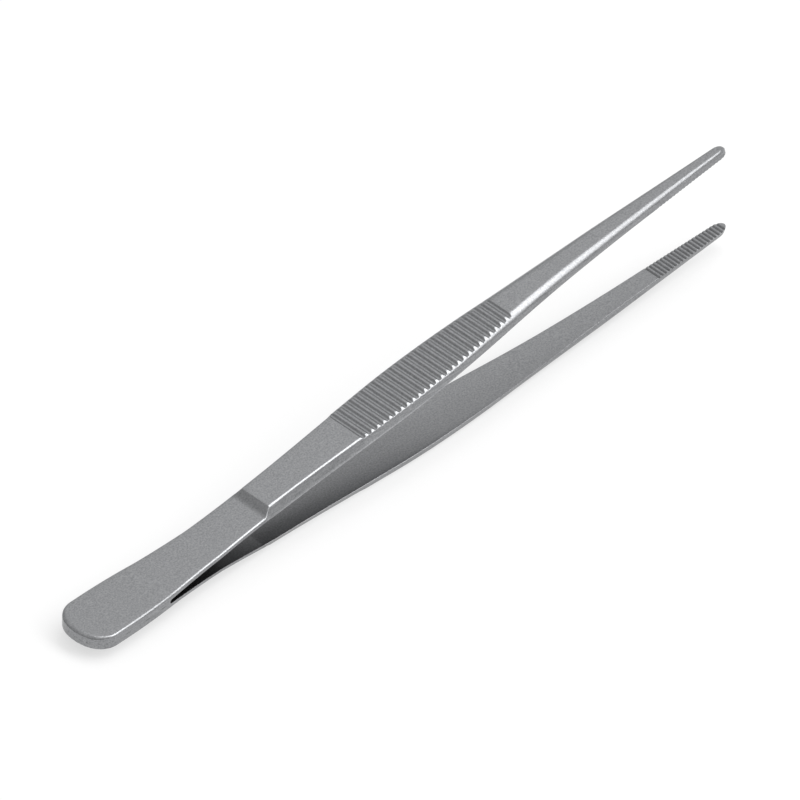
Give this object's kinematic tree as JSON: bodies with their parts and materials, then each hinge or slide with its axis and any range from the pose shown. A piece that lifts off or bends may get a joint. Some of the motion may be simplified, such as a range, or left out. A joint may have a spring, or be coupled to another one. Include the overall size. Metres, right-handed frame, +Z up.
{
  "type": "thumb forceps",
  "caption": "Straight sprung thumb forceps: two flat limbs welded at the butt, with cross-grooved finger grips and serrated blunt tips.",
  "frame": {"origin": "middle of the bounding box at the level of the ground that the forceps lie on", "axes": "+X along the forceps from the butt to the tips, +Y across the limbs, +Z up"},
  "size_m": [0.1452, 0.0104, 0.0208],
  "materials": {
    "satin_steel": "satin, bead blasted"
  },
  "bodies": {
    "root": {"upper_limb": "satin_steel", "lower_limb": "satin_steel"}
  },
  "joints": []
}
